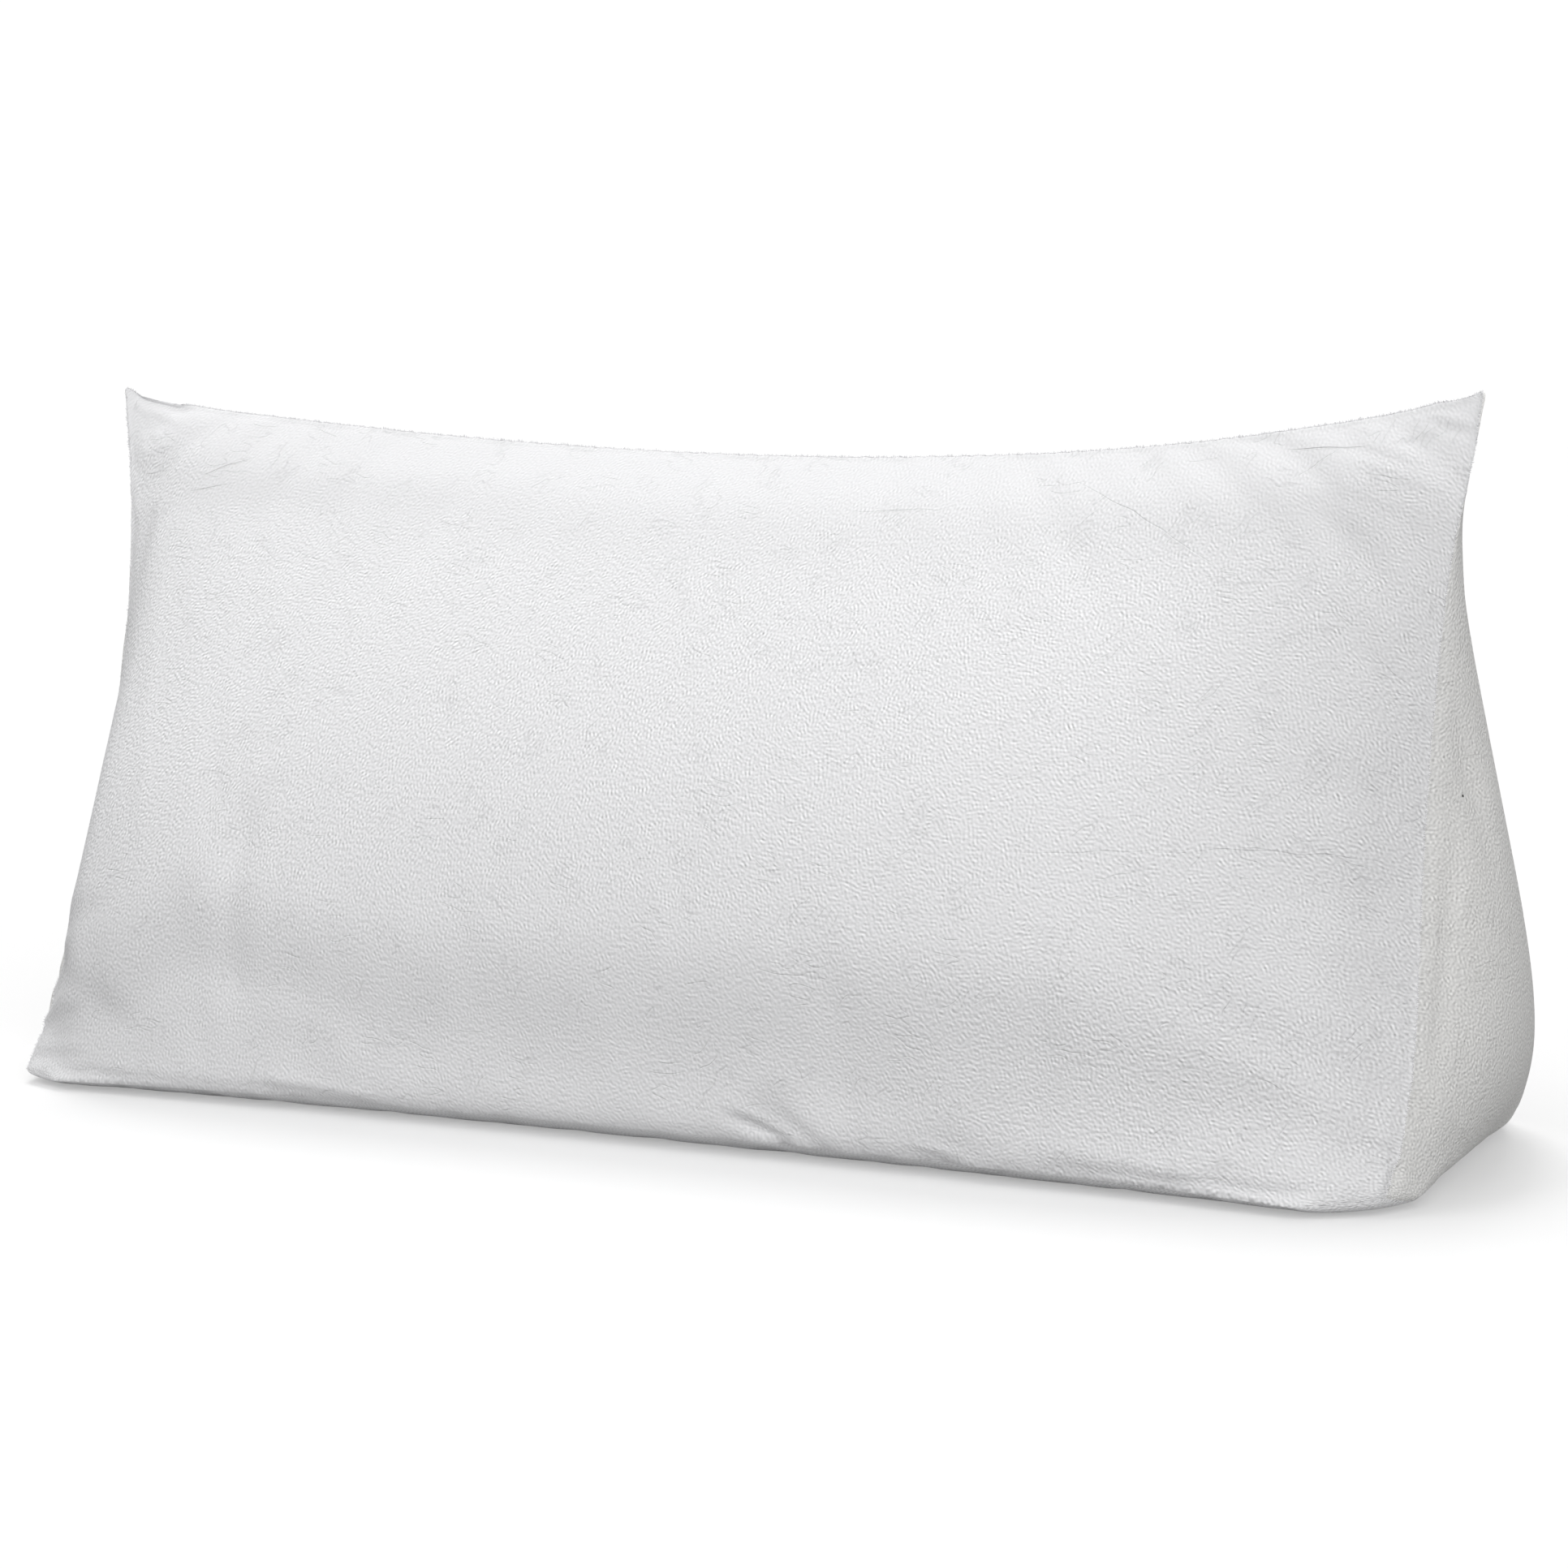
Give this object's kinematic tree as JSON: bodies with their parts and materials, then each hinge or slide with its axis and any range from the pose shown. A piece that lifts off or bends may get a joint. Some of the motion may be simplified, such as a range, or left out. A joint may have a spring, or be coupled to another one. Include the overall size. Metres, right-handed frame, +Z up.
{
  "type": "wedge pillow",
  "caption": "Filled cushion with a triangular section, sewn from a front, a back and a base panel and two end gussets, to lean on in bed or on a sofa.",
  "frame": {"origin": "on the floor, at the middle of the bounding box's base", "axes": "+X along the ridge, from the left ear to the right one seen from the front; the fuller front panel faces -Y; +Z up"},
  "size_m": [1.0584, 0.3718, 0.49],
  "materials": {
    "plush": "white short-pile plush, its nap brushed in patches, matt"
  },
  "bodies": {
    "root": {"wedge_cushion": "plush"}
  },
  "joints": []
}
